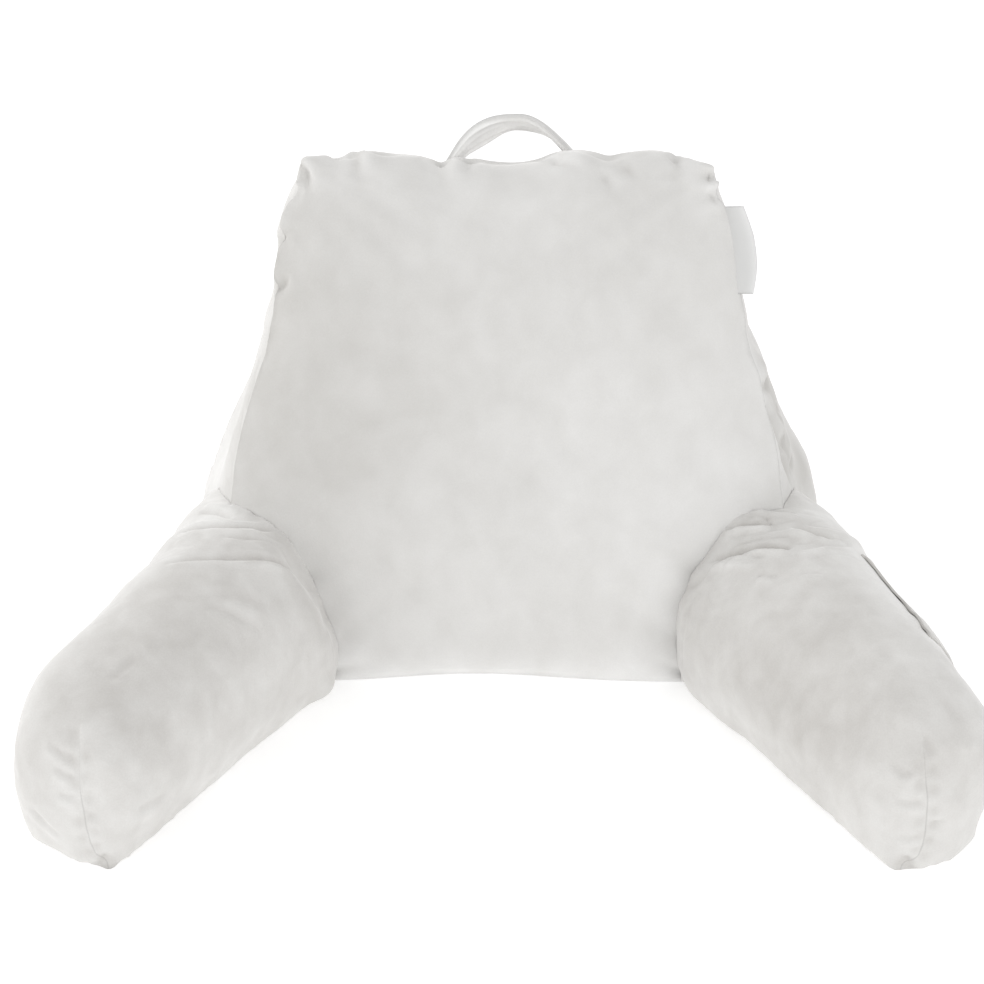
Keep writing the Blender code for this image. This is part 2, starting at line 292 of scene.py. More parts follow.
# A fold drawn on a panel as a line of points, in inches. depth is how far it sinks and roll how far
# the cloth on its left swells. A pucker is deepest at its first point, on a seam, and runs out.
def along_line(line, u, v):
    """The distance to a line of points, the share along it, and 1 or -1 for its left or right side."""
    best = (1e9, 0.0, 1.0)
    lengths = [math.dist(a, b) for a, b in zip(line, line[1:])]
    total, before = sum(lengths), 0.0
    for (ax, ay), (bx, by), length in zip(line, line[1:], lengths):
        t = clamped(((u - ax) * (bx - ax) + (v - ay) * (by - ay)) / length ** 2)
        off_x, off_y = u - ax - t * (bx - ax), v - ay - t * (by - ay)
        distance = math.hypot(off_x, off_y)
        if distance < best[0]:
            side = 1.0 if (bx - ax) * off_y - (by - ay) * off_x > 0 else -1.0
            best = (distance, (before + t * length) / total, side)
        before += length
    return best


FOLD_SHADE = 2.2                                    # painted shade in a fold, painted light on its roll, an inch of depth


def folds_at(folds, u, v, puckers=False):
    """How far a panel's folds raise it at u, v, in metres, and the painted shade in them and painted
    light on their rolls.
    """
    height, painted_light_and_nap_amount = 0.0, 0.0
    for line, depth, width, roll in folds:
        distance, share, side = along_line(line, u / INCH, v / INCH)
        if distance > 5 * width:
            continue
        if puckers:
            fade = (1.0 - share) ** 1.3
            width *= 1.0 + 0.8 * share
        else:
            fade = 1.0 - (2 * share - 1) ** 4
        height -= fade * depth * bell(distance, width)
        painted_light_and_nap_amount -= FOLD_SHADE * fade * depth * bell(distance, 0.8 * width)
        if side > 0:
            swell = fade * roll * bell(distance - 2.1 * width, 1.2 * width)
            height += swell
            painted_light_and_nap_amount += FOLD_SHADE * swell
    return height * INCH, painted_light_and_nap_amount


CRUMPLE_DEPTH = 0.0016
CRUMPLE_NARROW = 6.0                                # the more, the narrower a crease


def crumples(u, v):
    """Short random creases: 1 on one, 0 off it. u and v count the places where one may lie."""
    return max(0.0, 1.0 - CRUMPLE_NARROW * abs(noise.noise(Vector((u, v, 3.7)))))


def ripples(point, waves):
    """How uneven the stuffing leaves the cloth, by each wave's height and how many go to a metre."""
    return sum(height * noise.noise(point * often) for height, often in waves)


RIM_OFF_PLANE = 0.0008                              # the furthest that a panel's rim lies off its plane
back_solid = merged("back_cushion")
front_seam = seam_tree(back_solid, lambda point: abs(out_of_face(point)) < RIM_OFF_PLANE)
rear_seam = seam_tree(back_solid, lambda point: abs(out_of_rear(point)) < RIM_OFF_PLANE)
back_solid.free()

# The cover is held this near its base and its seams, but free this far down from the top's middle.
BASE_HELD = 0.004
SEAM_HELD = 0.0035
TOP_FREE = 0.020
TOP_FREE_HALF_WIDTH = 0.125


def back_held(point):
    """Held at the side seams of the front and rear panels, and all over the base."""
    if point.z < BASE_HELD:
        return 1.0
    if up_the_face(point) > FACE_LENGTH - TOP_FREE and abs(point.x) < TOP_FREE_HALF_WIDTH:
        return 0.0
    near = min(front_seam.find(point)[2], rear_seam.find(point)[2])
    return 1.0 if near < SEAM_HELD else 0.0


# Puckers that run into the front panel from its seams: across from its middle and up it, in inches.
FACE_PUCKERS = (
    (((-5.60, 14.0), (-5.35, 13.4), (-4.90, 13.0)), 0.12, 0.14, 0.05),
    (((-4.10, 14.7), (-4.05, 13.9), (-3.80, 13.2)), 0.20, 0.14, 0.05),
    (((-1.84, 14.7), (-1.80, 14.0), (-1.66, 13.4)), 0.18, 0.12, 0.04),
    (((-1.08, 14.7), (-1.05, 14.0), (-1.00, 13.4)), 0.13, 0.13, 0.04),
    (((1.30, 14.25), (1.90, 14.05), (2.60, 13.85)), 0.13, 0.13, 0.09),
    (((2.62, 13.75), (2.75, 13.45), (2.95, 13.15)), 0.08, 0.12, 0.04),
    (((3.25, 14.0), (3.45, 13.75), (3.60, 13.60)), 0.09, 0.12, 0.04),
    (((4.66, 14.8), (4.62, 14.1), (4.45, 13.3)), 0.20, 0.12, 0.06),
    (((5.62, 13.78), (5.35, 13.82), (4.95, 13.75)), 0.17, 0.12, 0.10),
    (((5.72, 13.25), (5.45, 13.35), (4.90, 13.30)), 0.08, 0.12, 0.04),
    (((-6.25, 12.10), (-5.95, 12.30), (-5.60, 12.60)), 0.14, 0.12, 0.06),
    (((-6.30, 10.80), (-6.05, 11.10), (-5.75, 11.50)), 0.13, 0.12, 0.06),
    (((-6.80, 9.50), (-6.40, 9.60), (-5.95, 9.85)), 0.10, 0.14, 0.04),
    (((4.95, 0.15), (4.45, 0.45), (3.75, 0.62)), 0.14, 0.12, 0.10),
    (((-4.90, 0.20), (-4.10, 0.40), (-3.10, 0.52)), 0.16, 0.15, 0.06),
    (((-3.6, 7.2), (-2.4, 7.6), (-1.2, 7.5)), 0.03, 0.40, 0.02),
    (((5.2, 3.1), (4.6, 3.6), (3.6, 3.9)), 0.06, 0.30, 0.03),
    (((-5.4, 3.0), (-4.7, 3.7), (-3.9, 4.1)), 0.06, 0.30, 0.03),
)
# Crumples in the right gusset: behind the base's front edge and up, in inches.
GUSSET_FOLDS = (
    (((2.6, 8.2), (3.30, 7.35), (3.55, 6.30), (3.45, 5.20), (3.80, 4.05)), 0.17, 0.16, 0.0),
    (((3.6, 7.25), (4.4, 6.90), (5.4, 6.95)), 0.12, 0.18, 0.08),
    (((3.5, 5.60), (4.2, 5.15), (4.9, 5.20)), 0.12, 0.20, 0.09),
    (((4.0, 4.35), (4.9, 4.10), (5.8, 4.35)), 0.10, 0.18, 0.07),
    (((4.3, 6.10), (5.0, 5.90), (5.6, 6.10)), 0.07, 0.16, 0.05),
)
FLOOR_EDGE_MIDDLE = -0.022                          # where the lower edge draws back the most
FLOOR_EDGE_SPREAD = 0.075
FLOOR_EDGE_BACK = 0.010
FLOOR_EDGE_INTO = 0.030                             # how far under the cushion, and up it, that reaches
FLOOR_EDGE_UP = 0.012
CRUMPLE_SPREAD = 0.022                              # how far the gathers of the rear and the sides reach
BACK_CRUMPLES = (75.0, 40.0)                        # places for them to a metre, up it and along it
CRUMPLE_SHADE = 0.22
BACK_RIPPLES = ((0.0011, 22.0), (0.0005, 60.0))
SEAM_PROUD = 0.0007                                 # the side seams stand out, but not over the top
SEAM_PROUD_SPREAD = 0.0020
TOP_SMOOTH = 0.015
TOP_SMOOTH_HALF_WIDTH = 0.13
PUCKERS_TURN = 0.3                                  # how far round from the front its puckers go on
BESIDE_PANELS = 0.004                               # from a panel's rim to where the gusset's folds begin
GUSSET_FOLDS_TOP = 9.0 * INCH


def on_face(across, up):
    """A place on the front panel, in inches."""
    return (BASE_FRONT + FACE_UP * up * INCH) / INCH + Vector((across, 0.0, 0.0))


# Tone patches on the back, darker below 0: darker to the left of the face and lighter to its
# right, painted light along its lower edge and at its lower left, and a painted highlight along
# the top. Places, amounts and radii, in inches.
BACK_PAINTED_LIGHT_AND_NAP = (
    (on_face(-6.0, 11.0), -0.30, 2.6),
    (on_face(-6.4, 7.0), -0.32, 3.0),
    (on_face(-3.2, 8.5), -0.10, 3.0),
    (on_face(-4.0, 3.5), -0.06, 3.0),
    (on_face(3.2, 7.5), 0.16, 3.2),
    (on_face(5.0, 4.5), 0.10, 2.6),
    *((on_face(across, 0.15), 0.40, 0.75) for across in (-4.6, -3.0, -1.5, 0.0, 1.5, 3.0, 4.4)),
    (on_face(-4.5, 1.2), 0.12, 1.2),
    (on_face(-5.2, 2.4), 0.14, 1.3),
    (on_face(-4.5, 14.4), 0.18, 1.2),
    (on_face(-1.5, 14.4), 0.18, 1.2),
    (on_face(1.5, 14.4), 0.18, 1.2),
    (on_face(4.5, 14.4), 0.18, 1.2),
)
# Painted shade on the right gusset, which turns away from the light, and painted light on the left one:
# places, amounts and radii, in inches.
GUSSET_PAINTED_LIGHT_AND_SHADE = (
    (Vector((8.6, 1.8, 3.5)), -0.75, 1.0),
    (Vector((7.9, 0.5, 5.0)), -0.70, 0.9),
    (Vector((7.5, 0.8, 6.3)), -0.60, 0.9),
    (Vector((7.2, 0.7, 7.6)), -0.35, 0.8),
    (Vector((-8.3, 1.5, 4.5)), 0.40, 1.6),
    (Vector((-7.5, 1.8, 7.5)), 0.30, 1.6),
)


def painted_light_and_nap_patches(point, patches):
    """The tone at a point, raised (above 0) by painted light and lowered by painted shade, with some
    wider tone patches among them: patches in inches.
    """
    spot = point / INCH
    return sum(amount * bell((spot - place).length, radius) for place, amount, radius in patches)


def back_shape(point, normal):
    up = up_the_face(point)
    seam = min(front_seam.find(point)[2], rear_seam.find(point)[2])
    at_sides = 1.0 if up < FACE_LENGTH - TOP_SMOOTH or abs(point.x) > TOP_SMOOTH_HALF_WIDTH else 0.0
    # painted light and shade: tone patches, painted shade in the folds and crumples, painted light on the
    # folds' rolls
    height, painted_light_and_nap_amount = at_sides * SEAM_PROUD * bell(seam, SEAM_PROUD_SPREAD), painted_light_and_nap_patches(point, BACK_PAINTED_LIGHT_AND_NAP)
    facing = clamped(PUCKERS_TURN + normal.dot(FACE_OUT))
    sunk, fold_painted_light_and_shade = folds_at(FACE_PUCKERS, point.x, up, puckers=True)
    height += sunk * facing
    painted_light_and_nap_amount += fold_painted_light_and_shade * facing
    beside = clamped(-off_panel_seams(point) / BESIDE_PANELS)
    painted_light_and_nap_amount += painted_light_and_nap_patches(point, GUSSET_PAINTED_LIGHT_AND_SHADE) * beside
    if beside > 0 and normal.x > 0.3 and point.z < GUSSET_FOLDS_TOP:
        sunk, fold_painted_light_and_shade = folds_at(GUSSET_FOLDS, point.y - BASE_FRONT.y, point.z)
        height += sunk * beside
        painted_light_and_nap_amount += fold_painted_light_and_shade * beside
    upwards, onwards = BACK_CRUMPLES
    creased = bell(seam, CRUMPLE_SPREAD) * (1.0 - facing)
    creased *= crumples(point.z * upwards, (point.x - point.y) * onwards)
    height += ripples(point, BACK_RIPPLES) - CRUMPLE_DEPTH * creased
    painted_light_and_nap_amount -= CRUMPLE_SHADE * creased
    return (height if point.z > FLAT_BELOW else 0.0), painted_light_and_nap_amount


def pull(cover, pulls):
    """Draws the cloth about each place by a shift that fades out over a radius, all in inches."""
    for vertex in cover.data.vertices:
        spot = vertex.co / INCH
        for place, shift, radius in pulls:
            vertex.co += Vector(shift) * INCH * bell((spot - Vector(place)).length, radius)
        vertex.co.z = max(vertex.co.z, 0.0)


# Where the stuffing leaves the sides slack, and where it fills them out: places, shifts and radii,
# in inches.
BACK_PULLS = (
    ((-6.75, 1.3, 8.5), (0.17, 0.0, 0.0), 1.0),
    ((-7.75, 2.2, 5.4), (0.45, 0.0, 0.0), 1.4),
    ((-6.85, 2.2, 9.6), (0.28, 0.0, 0.0), 0.9),
    ((-8.50, 2.6, 4.4), (0.20, 0.0, 0.0), 0.9),
    ((-8.15, 2.4, 5.6), (0.12, 0.0, 0.0), 0.8),
    ((-8.95, 2.2, 2.1), (-0.18, 0.0, 0.0), 0.5),
    ((-8.40, 2.8, 3.4), (0.10, 0.0, 0.0), 0.8),
    ((6.20, 2.9, 11.5), (-0.30, 0.0, 0.0), 0.7),
    ((6.50, 2.6, 10.6), (-0.32, 0.0, 0.0), 0.7),
    ((6.75, 2.3, 9.7), (-0.32, 0.0, 0.0), 0.7),
    ((7.00, 2.1, 8.8), (-0.30, 0.0, 0.0), 0.7),
    ((7.20, 1.8, 8.0), (-0.20, 0.0, 0.0), 0.7),
    ((8.80, 2.9, 2.9), (0.40, 0.0, 0.0), 1.2),
    ((8.70, 2.6, 4.2), (-0.22, 0.0, 0.0), 0.9),
    ((8.95, 2.2, 1.9), (0.22, 0.0, 0.0), 0.55),
    # the top's left corner, and the lobes and gathers below it
    ((-5.45, 2.5, 12.75), (-0.05, 0.0, 0.20), 0.45),
    ((-5.65, 2.65, 12.65), (-0.12, 0.0, 0.05), 0.30),
    ((-6.00, 2.85, 12.10), (0.24, 0.0, 0.0), 0.45),
    ((-5.50, 2.25, 12.25), (0.10, 0.16, 0.0), 0.22),
    ((-5.80, 2.05, 11.95), (0.22, 0.05, 0.0), 0.28),
    ((-5.95, 2.30, 11.60), (0.12, 0.00, 0.0), 0.40),
    ((-4.95, 2.90, 12.75), (0.00, 0.00, 0.22), 0.35),
    ((-6.05, 1.85, 11.40), (-0.03, -0.05, 0.0), 0.40),
    ((-6.22, 1.65, 10.80), (0.16, 0.04, 0.0), 0.22),
    ((-6.20, 1.30, 10.30), (-0.06, -0.05, 0.0), 0.35),
    ((-6.15, 0.85, 9.78), (0.12, 0.0, 0.0), 0.24),
    # along the top, from left to right
    ((-4.60, 2.95, 12.60), (0.0, 0.0, -0.14), 0.15),
    ((-4.25, 2.95, 12.65), (0.0, 0.0, -0.14), 0.15),
    ((-4.20, 3.35, 12.70), (0.0, 0.0, 0.14), 0.35),
    ((-1.75, 3.00, 12.35), (0.0, 0.0, -0.16), 0.17),
    ((-1.35, 2.80, 12.50), (0.0, 0.0, 0.06), 0.25),
    ((-1.09, 2.51, 12.41), (0.0, 0.05, -0.06), 0.15),
    ((2.00, 2.60, 12.65), (0.0, -0.06, 0.05), 0.30),
    ((4.48, 2.72, 12.60), (0.0, 0.06, -0.18), 0.16),
    ((-3.45, 3.36, 12.60), (0.0, 0.0, -0.20), 0.40),
    ((-1.08, 3.17, 12.45), (0.0, 0.0, -0.26), 0.22),
    ((-0.55, 3.25, 12.50), (0.0, 0.0, -0.13), 0.45),
    ((0.25, 3.30, 12.55), (0.0, 0.0, -0.14), 0.55),
    ((1.05, 3.30, 12.55), (0.0, 0.0, -0.13), 0.45),
    ((0.25, 4.30, 12.00), (0.0, 0.0, -0.32), 1.05),
    ((2.70, 3.20, 12.50), (0.0, 0.0, -0.14), 0.50),
    ((4.75, 2.95, 12.75), (0.0, 0.0, 0.24), 0.35),
    # the right corner
    ((5.40, 2.60, 12.70), (0.00, 0.0, 0.12), 0.45),
    ((5.65, 2.80, 12.65), (-0.20, 0.0, -0.12), 0.32),
    ((5.72, 2.20, 12.18), (-0.15, 0.00, 0.0), 0.26),
    ((5.78, 2.30, 11.98), (-0.06, 0.00, 0.0), 0.24),
    ((5.90, 2.20, 11.70), (-0.24, 0.0, 0.0), 0.40),
)
# The seams are knife edges: the cloth this near to one is drawn on to its line.
SEAM_REACH = 0.0035
SEAM_DRAW = 0.55
TOP_UNDRAWN = 0.012                                 # from here up to the top it is left round
SEAM_RUNS_OUT = 0.001                               # past its end a line is this quickly out of sight
SEAM_KNOWN = 0.02                                   # how far from a line its distance still counts


def sharpen(cover, seams, reach, draw, everywhere=False):
    """Draws the cloth within reach of a seam on to its line, draw being 1 on the line itself."""
    for vertex in cover.data.vertices:
        line, _, distance = min((seam.find(vertex.co) for seam in seams), key=lambda found: found[2])
        below_top = everywhere or up_the_face(vertex.co) < FACE_LENGTH - TOP_UNDRAWN
        if vertex.co.z > FLAT_BELOW and below_top:
            vertex.co = vertex.co.lerp(line, draw * bell(distance, reach))


def mark_seams(cover, distance_at):
    """Writes the seam attribute. distance_at(point) is above 0 on one side of the line, below 0 on
    the other, so that the line itself is found between two points."""
    seam = cover.data.attributes.new("seam", "FLOAT", "POINT")
    for vertex, value in zip(cover.data.vertices, seam.data):
        value.value = 1.0 + min(max(distance_at(vertex.co), -SEAM_KNOWN), SEAM_KNOWN)


def off_panel_seams(point):
    """The distance to the front or the rear panel's rim: above 0 on the panel, below 0 beside it."""
    found = [(seam.find(point), out) for seam, out in ((front_seam, FACE_OUT), (rear_seam, REAR_OUT))]
    (line, _, distance), out = min(found, key=lambda pair: pair[0][2])
    behind = abs((point - line).dot(out))
    over_top = max(0.0, up_the_face(point) - FACE_LENGTH + TOP_FREE)
    on_panel = math.sqrt(max(0.0, distance ** 2 - behind ** 2))
    return (on_panel - behind) * (1.0 + over_top / SEAM_RUNS_OUT)


def draw_back_the_floor_edge(cover):
    """The lower edge of the front panel curls under, most in its middle."""
    for vertex in cover.data.vertices:
        spot = vertex.co
        front = bell(min(0.0, out_of_face(spot)), FLOOR_EDGE_INTO)
        across = bell(spot.x - FLOOR_EDGE_MIDDLE, FLOOR_EDGE_SPREAD)
        spot.y += FLOOR_EDGE_BACK * front * across * bell(spot.z, FLOOR_EDGE_UP)


back = cover_of("back_cushion", "back_cover", BACK_VOXEL)
stuff(back, back_held, BACK_PUFF)
refine(back)
sharpen(back, (front_seam, rear_seam), SEAM_REACH, SEAM_DRAW)
mark_seams(back, off_panel_seams)
press(back, back_shape)
pull(back, BACK_PULLS)
draw_back_the_floor_edge(back)
back_plush = plush("back_plush", BACK_PLUSH, mottle=0.12, drift_size=0.10, sheen=0.65, seam_shade=0.16)
dress(back, back_plush, "back_cushion")

# --- Arms -----------------------------------------------------------------------------------------
# Two stuffed bolsters that come forwards and outwards from the back's sides, each an inner and an
# outer panel seamed down the front of its rounded end, on a flat sole. The cloth bunches at the root.
ARM_VOXEL = 0.0033
ARM_PUFF = 0.004
ARM_PLUSH = ((0.548, 0.531, 0.508), (0.812, 0.806, 0.790))
TIP_SEAM = {"arm_left": ((10.30, 3.45), (10.31, 2.40), (10.20, 1.32), (10.12, 0.85), (10.00, 0.50),
                         (9.84, 0.25), (9.64, 0.05)),
            "arm_right": ((9.92, 3.25), (10.05, 2.16), (10.06, 1.20), (10.03, 0.80), (9.95, 0.50),
                          (9.79, 0.27), (9.57, 0.06))}
TIP_LINE_TOP = {"arm_left": 2.10 * INCH, "arm_right": 2.45 * INCH}      # above it the pile hides it
TIP_LINE_RUNS_OUT = 0.004
TIP_SEAM_DEPTH, TIP_SEAM_WIDTH = 0.05, 0.075        # of the groove along that seam, in inches
TIP_GATHERS = 46.0                                  # of the small gathers beside it: radians down it,
TIP_GATHER_DEPTH = 0.045                            # depth, middle and width, in inches
TIP_GATHER_MIDDLE, TIP_GATHER_WIDTH = 0.16, 0.14
TIP_GATHER_SHADE = 0.22
TIP_PINCH = {"arm_left": (9.70, 0.22), "arm_right": (9.58, 0.25)}       # where it meets the sole
TIP_PINCH_DEPTH, TIP_PINCH_WIDTH = 0.16, 0.22
TIP_PINCH_SHADE = 0.3

# Folds on the arms' tops: out from the pillow's middle and forwards of the base's front edge, in inches.
ROOT_FOLDS = {
    "arm_left": (
        (((8.85, -0.98), (8.00, -0.92), (7.27, -0.85), (6.70, -1.05), (6.2, -1.45)), 0.15, 0.10, 0.07),
        (((5.50, -0.06), (5.77, 0.03), (6.76, 0.45), (7.76, 0.75), (8.95, 0.92)), 0.11, 0.10, 0.06),
        (((7.60, 2.52), (6.92, 2.46), (6.30, 2.36)), 0.06, 0.14, 0.04),
        (((8.40, -2.1), (7.9, -1.9), (7.4, -1.5)), 0.11, 0.12, 0.06),
        (((7.6, -0.30), (7.0, -0.25), (6.4, -0.5)), 0.06, 0.14, 0.04),
        (((9.70, 5.40), (9.15, 4.60)), 0.04, 0.10, 0.02),
        (((6.2, 1.6), (7.0, 1.9), (7.8, 2.4)), 0.06, 0.22, 0.04),
    ),
    "arm_right": (
        (((6.00, -1.30), (6.60, -1.10), (7.10, -1.05)), 0.20, 0.11, 0.11),
        (((5.80, -0.35), (6.60, -0.10), (7.50, 0.20)), 0.19, 0.11, 0.11),
        (((6.75, 0.42), (6.20, -0.02), (5.40, -0.70)), 0.13, 0.09, 0.0),
        (((5.35, -0.30), (5.85, 0.16), (6.55, 0.66)), -0.10, 0.13, 0.0),
        (((6.70, -1.95), (7.30, -1.75), (7.80, -1.80)), 0.14, 0.12, 0.08),
        (((7.60, -0.9), (8.10, -0.6), (8.6, -0.4)), 0.11, 0.14, 0.08),
        (((6.45, 0.95), (6.67, 0.99), (6.98, 1.30)), 0.06, 0.09, 0.04),
        (((7.55, 1.34), (7.85, 1.40), (8.20, 1.42)), 0.05, 0.10, 0.03),
        (((7.55, 0.62), (7.95, 0.52), (8.35, 0.36)), -0.10, 0.14, 0.0),
        (((7.10, -1.62), (7.00, -1.30), (7.12, -0.95)), 0.10, 0.09, 0.04),
    ),
}
# Folds on the arms' rounded ends, seen from the front: out from the middle and up.
END_FOLDS = {
    "arm_left": (
        (((11.6, 1.35), (11.2, 1.05), (10.85, 0.85)), 0.045, 0.10, 0.02),
        (((11.1, 3.25), (10.75, 3.10), (10.42, 3.05)), 0.06, 0.09, 0.03),
        (((10.95, 2.75), (10.7, 2.65), (10.42, 2.62)), 0.06, 0.08, 0.03),
        (((10.85, 2.15), (10.6, 2.12), (10.4, 2.2)), 0.05, 0.08, 0.03),
        (((9.0, 1.75), (8.7, 1.62), (8.35, 1.5)), 0.06, 0.14, 0.04),
    ),
    "arm_right": (
        (((9.75, 2.85), (9.45, 2.80), (9.1, 2.9)), 0.05, 0.09, 0.03),
        (((9.85, 2.15), (9.55, 2.05), (9.25, 2.1)), 0.05, 0.09, 0.03),
        (((10.15, 1.55), (10.4, 1.5), (10.6, 1.55)), 0.05, 0.08, 0.03),
        (((9.9, 1.15), (9.65, 1.05), (9.4, 1.1)), 0.05, 0.08, 0.03),
    ),
}
ROOT_SEAM = 0.0015                                  # where an arm's solid is this near the back's
ROOT_HELD = 0.006
SOLE_HELD = 0.003
ROOT_REACH = 0.0045                                 # how near the back its sewn edge is drawn in
ROOT_DRAW = 0.9
MEET_REACH = 0.0028
MEET_DRAW = 0.9
ROOT_CRUMPLE = {"arm_left": 0.30, "arm_right": 0.65}
ROOT_CRUMPLES = (38.0, 85.0, 12.0)                  # places for them to a metre: out, forwards, aslant
ROOT_CRUMPLE_MIDDLE = -0.6 * INCH                   # forwards of the base's front edge
ROOT_CRUMPLE_SPREAD = 1.3 * INCH
ROOT_CRUMPLE_SHADE = 0.25
ARM_RIPPLES = ((0.0010, 30.0), (0.0005, 80.0))
ARM_FLAT_BELOW = 0.001
TIP_FORWARD = 6.0 * INCH                            # where the rounded end begins
TIP_EASE = 0.010


def surface_of(piece):
    return BVHTree.FromPolygons([vertex.co for vertex in piece.data.vertices],
                                [face.vertices for face in piece.data.polygons])


back_surface = surface_of(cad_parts["back_cushion"])


def arm_held(point):
    """Held to the sole, and where the arm is sewn to the back."""
    if point.z < SOLE_HELD:
        return 1.0
    return bell(back_surface.find_nearest(point)[3], ROOT_HELD)


# The inner side curls under towards the sole, all along it. Places are out and forwards, in inches.
TUCK_FROM, TUCK_TO, TUCK_STEPS = Vector((5.3, 1.4, 0.1)), Vector((9.2, 7.3, 0.1)), 6
TUCK_IN = {"arm_left": Vector((0.24, -0.17, 0.0)), "arm_right": Vector((0.07, -0.05, 0.0))}
ARM_PULLS = {
    "arm_left": (((11.35, 4.80, 3.90), (0.12, 0.00, 0.08), 1.2),
                 ((11.95, 6.40, 1.30), (0.18, 0.00, 0.00), 1.3),
                 ((11.10, 7.30, 0.10), (-0.14, -0.14, 0.0), 0.7),
                 ((4.85, 0.75, 0.30), (-0.20, 0.10, 0.0), 0.45),
                 ((4.75, -0.15, 2.10), (0.20, 0.00, 0.00), 0.6),
                 ((4.75, -0.40, 2.90), (0.26, 0.00, -0.10), 0.9),
                 ((5.30, -0.40, 3.70), (0.20, 0.00, -0.14), 0.8),
                 ((10.15, 7.45, 0.10), (0.00, -0.10, 0.0), 0.30),
                 ((9.62, 7.46, 0.05), (-0.02, 0.13, -0.05), 0.22)),
    "arm_right": (((9.90, 1.10, 3.90), (-0.06, 0.00, -0.08), 1.1),
                  ((10.80, 3.30, 4.00), (-0.08, 0.00, -0.10), 1.2),
                  ((11.50, 5.00, 3.80), (-0.10, 0.00, -0.10), 1.2),
                  ((9.00, -1.00, 3.90), (0.30, 0.05, 0.08), 1.0),
                  ((8.85, -2.50, 3.60), (0.16, 0.00, 0.00), 0.6),
                  ((11.85, 6.00, 0.40), (-0.34, 0.00, 0.0), 0.75),
                  ((6.60, 3.00, 0.20), (0.08, -0.05, 0.0), 0.6),
                  ((6.30, -1.45, 4.10), (-0.12, -0.09, 0.18), 0.8),
                  ((11.60, 4.20, 3.30), (-0.18, 0.00, 0.0), 1.0),
                  ((11.00, 7.00, 0.10), (-0.06, -0.06, 0.0), 0.7),
                  ((9.42, 7.40, 0.05), (-0.05, 0.13, -0.05), 0.22)),
}


def beside_back(name, out, forward, up):
    """A place on an arm, out from the middle, forwards of the base's front edge and up, in inches."""
    side = -1 if name == "arm_left" else 1
    return Vector((side * out, BASE_FRONT.y / INCH - forward, up))


def arm_pulls(name):
    """The arm's pulls as places and shifts in the room, in inches."""
    tucks = [(TUCK_FROM.lerp(TUCK_TO, share), TUCK_IN[name] * (0.5 + 0.5 * share), 1.0)
             for share in (step / (TUCK_STEPS - 1) for step in range(TUCK_STEPS))]
    side = -1 if name == "arm_left" else 1
    return [(beside_back(name, *place), (side * shift[0], -shift[1], shift[2]), radius)
            for place, shift, radius in [*tucks, *ARM_PULLS[name]]]


# Tone patches on the arms, darker below 0: painted highlights along the outer shoulders, painted
# light low on the tips, darker over the tops and by the roots. Out, forwards and up, in inches.
ARM_PAINTED_LIGHT_AND_NAP = {
    "arm_left": (
        ((7.2, 0.8, 4.5), -0.03, 2.0), ((8.2, 3.6, 4.3), -0.09, 2.0), ((9.0, 5.4, 4.0), -0.20, 1.8),
        ((9.9, 7.2, 1.6), 0.08, 1.8), ((8.2, -1.5, 4.6), 0.40, 0.9), ((9.9, 0.5, 4.4), 0.40, 1.0),
        ((11.0, 2.5, 4.2), 0.35, 1.0), ((12.1, 4.6, 4.0), 0.25, 1.0),
    ),
    "arm_right": (
        ((6.6, 0.2, 4.3), -0.08, 2.0), ((8.0, 5.4, 3.1), -0.45, 2.4), ((5.3, 1.4, 2.6), -0.25, 1.6),
        ((9.4, 7.5, 1.4), 0.12, 1.8), ((10.8, 7.3, 2.0), -0.08, 1.6), ((9.6, 5.2, 4.4), 0.06, 1.8),
        ((8.8, -1.9, 4.1), 0.55, 0.8), ((9.4, -0.4, 4.2), 0.45, 0.8), ((9.6, 0.8, 4.5), 0.45, 0.9),
        ((10.2, 2.0, 4.6), 0.45, 1.0), ((10.9, 3.7, 4.3), 0.35, 1.0),
    ),
}


